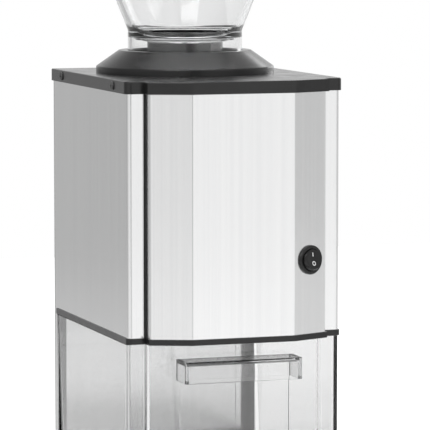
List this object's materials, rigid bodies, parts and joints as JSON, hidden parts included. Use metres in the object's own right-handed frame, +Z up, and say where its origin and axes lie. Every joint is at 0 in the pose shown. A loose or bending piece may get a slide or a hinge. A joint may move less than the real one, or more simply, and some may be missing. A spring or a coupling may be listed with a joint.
{
  "type": "electric ice crusher",
  "caption": "Upright electric ice crusher: steel cabinet with faceted front, clear hopper with lid on a black collar, rocker switch and clear ice drawer with box handle.",
  "frame": {"origin": "middle of the footprint, on the table", "axes": "+Z up, -Y to the front with switch and drawer handle, +X to the right seen from the front"},
  "size_m": [0.1842, 0.241, 0.47],
  "materials": {
    "brushed_steel": "vertical brushed grain, satin",
    "black_plastic": "satin moulded, fine texture",
    "clear_plastic": "clear polished moulding",
    "switch_black": "semi gloss moulded",
    "black_rubber": "matt",
    "grey_rubber": "matt silicone",
    "dark_screw": "blackened",
    "zinc_steel": "bright zinc",
    "white_plastic": "smooth acetal",
    "cast_aluminium": "cast, fine grained",
    "bronze": "turned",
    "blade_steel": "ground stainless",
    "gear_steel": "oiled machined steel",
    "dark_steel": "black enamel",
    "lamination": "varnished laminations"
  },
  "bodies": {
    "cabinet": {"right_side_panel": "brushed_steel", "left_side_panel": "brushed_steel", "back_panel": "brushed_steel", "bay_posts": "black_plastic", "front_panel": "brushed_steel", "panel_seals": "black_rubber", "top_cover": "black_plastic", "cover_screws": "dark_screw", "lower_deck": "black_plastic", "base": "black_plastic", "feet": "black_rubber", "foot_screws": "zinc_steel", "rear_screws": "zinc_steel", "drawer_runners": "white_plastic", "collar": "black_plastic", "hopper_seal": "grey_rubber", "chamber": "cast_aluminium", "shaft_bearings": "bronze", "fixed_blades": "blade_steel", "chute": "white_plastic", "gearbox_plate": "cast_aluminium", "gearbox_cover": "cast_aluminium", "gearbox_screws": "zinc_steel", "idler_pin": "blade_steel", "motor_can": "dark_steel", "motor_drive_cap": "cast_aluminium", "motor_rear_cap": "cast_aluminium", "motor_bearings": "blade_steel", "motor_stator": "lamination", "switch_housing": "switch_black", "switch_pin": "blade_steel", "switch_terminals": "bronze", "interlock_switch": "switch_black", "terminal_block": "white_plastic", "cable_gland": "switch_black", "gland_nut": "switch_black"},
    "drawer": {"drawer": "clear_plastic"},
    "hopper": {"hopper": "clear_plastic"},
    "lid": {"lid": "clear_plastic", "lid_knob": "black_plastic"},
    "rotor": {"rotor_shaft": "blade_steel", "rotor_hub": "blade_steel", "rotor_blades": "blade_steel", "drive_gear": "gear_steel"},
    "idler": {"idler_gear": "gear_steel"},
    "motor": {"motor_shaft": "blade_steel", "motor_armature": "lamination", "motor_fan": "switch_black", "motor_pinion": "gear_steel"},
    "rocker": {"switch_rocker": "switch_black"},
    "plunger": {"interlock_plunger": "white_plastic"}
  },
  "joints": [
    {"name": "drawer_slide", "type": "slide", "parent": "cabinet", "child": "drawer", "axis": [0, -1, 0], "range_m": [0, 0.2]},
    {"name": "hopper_lift", "type": "slide", "parent": "cabinet", "child": "hopper", "axis": [0, 0, 1], "range_m": [0, 0.06]},
    {"name": "lid_lift", "type": "slide", "parent": "hopper", "child": "lid", "axis": [0, 0, 1], "range_m": [0, 0.08]},
    {"name": "rotor_spin", "type": "hinge", "parent": "cabinet", "child": "rotor", "pos_m": [0, 0.0304, 0.282], "axis": [1, 0, 0], "continuous": true},
    {"name": "idler_spin", "type": "hinge", "parent": "cabinet", "child": "idler", "pos_m": [0, -0.01615, 0.27387], "axis": [1, 0, 0], "continuous": true},
    {"name": "motor_spin", "type": "hinge", "parent": "cabinet", "child": "motor", "pos_m": [0, -0.052, 0.252], "axis": [1, 0, 0], "continuous": true},
    {"name": "rocker_tilt", "type": "hinge", "parent": "cabinet", "child": "rocker", "pos_m": [0.0581, -0.1132, 0.2013], "axis": [0.9281, 0.3724, 0], "range_deg": [0, 24]},
    {"name": "plunger_press", "type": "slide", "parent": "cabinet", "child": "plunger", "axis": [0, 0, -1], "range_m": [0, 0.0025], "stiffness_N_per_m": 150, "springref_m": -0.0015}
  ],
  "couplings": [
    {"joint": "idler_spin", "follows": "rotor_spin", "ratio": -3.5},
    {"joint": "motor_spin", "follows": "rotor_spin", "ratio": 17.5}
  ]
}
